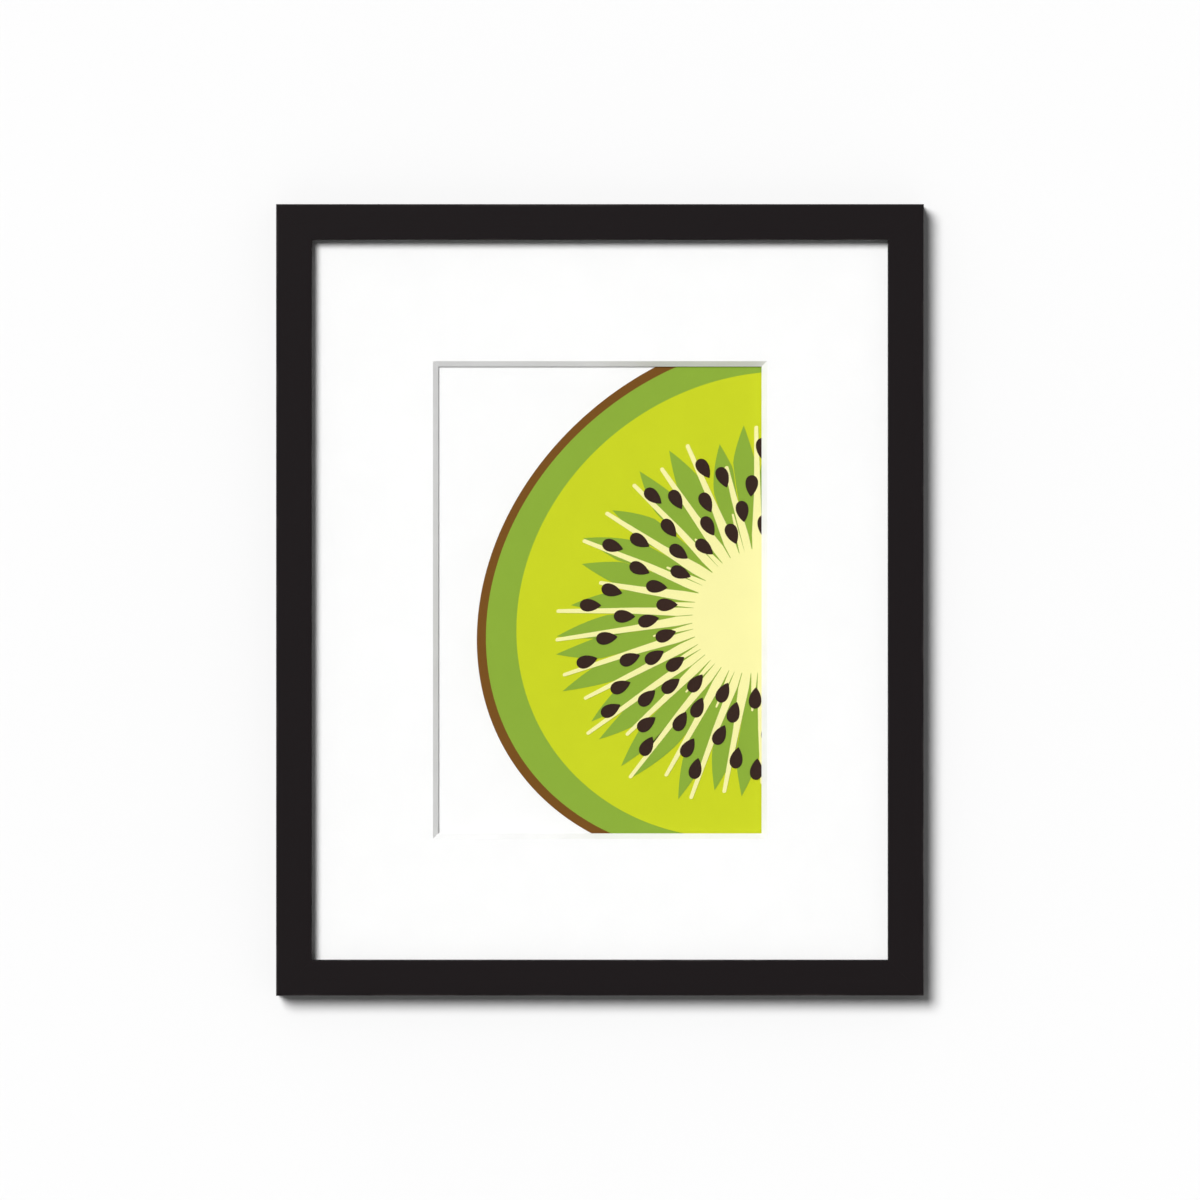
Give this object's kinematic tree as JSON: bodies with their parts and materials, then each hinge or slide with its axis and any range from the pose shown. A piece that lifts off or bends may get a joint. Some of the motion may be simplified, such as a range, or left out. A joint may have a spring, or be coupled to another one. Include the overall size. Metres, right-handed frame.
{
  "type": "framed print",
  "caption": "Slim black wooden picture frame with clear glazing and a white mat, holding a printed picture of a kiwi slice that is cut off by the mat's window.",
  "frame": {"origin": "centre of the frame's back, at the height of the rails' back faces, on which it lies", "axes": "+Z out of the front of the frame, +Y to the top of the picture, +X to the picture's right"},
  "size_m": [0.2286, 0.2794, 0.0127],
  "materials": {
    "black_wood": "satin",
    "clear_glazing": "gloss",
    "white_board": "matte",
    "white_paper": "matte",
    "brown_ink": "matte",
    "leaf_green_ink": "matte",
    "lime_ink": "matte",
    "cream_ink": "matte",
    "seed_ink": "matte",
    "hardboard": "matte",
    "zinc_plate": "satin"
  },
  "bodies": {
    "root": {"rail_top": "black_wood", "rail_bottom": "black_wood", "rail_left": "black_wood", "rail_right": "black_wood", "glazing": "clear_glazing", "mat_board": "white_board", "print_paper": "white_paper", "print_skin": "brown_ink", "print_outer_flesh": "leaf_green_ink", "print_inner_flesh": "lime_ink", "print_petals": "leaf_green_ink", "print_core": "cream_ink", "backing_board": "hardboard", "tab_right_a": "zinc_plate", "tab_right_b": "zinc_plate", "tab_top_a": "zinc_plate", "tab_top_b": "zinc_plate", "tab_left_a": "zinc_plate", "tab_left_b": "zinc_plate", "tab_bottom_a": "zinc_plate", "tab_bottom_b": "zinc_plate", "hanger": "zinc_plate", "rivet_left": "zinc_plate", "rivet_right": "zinc_plate"}
  },
  "joints": []
}
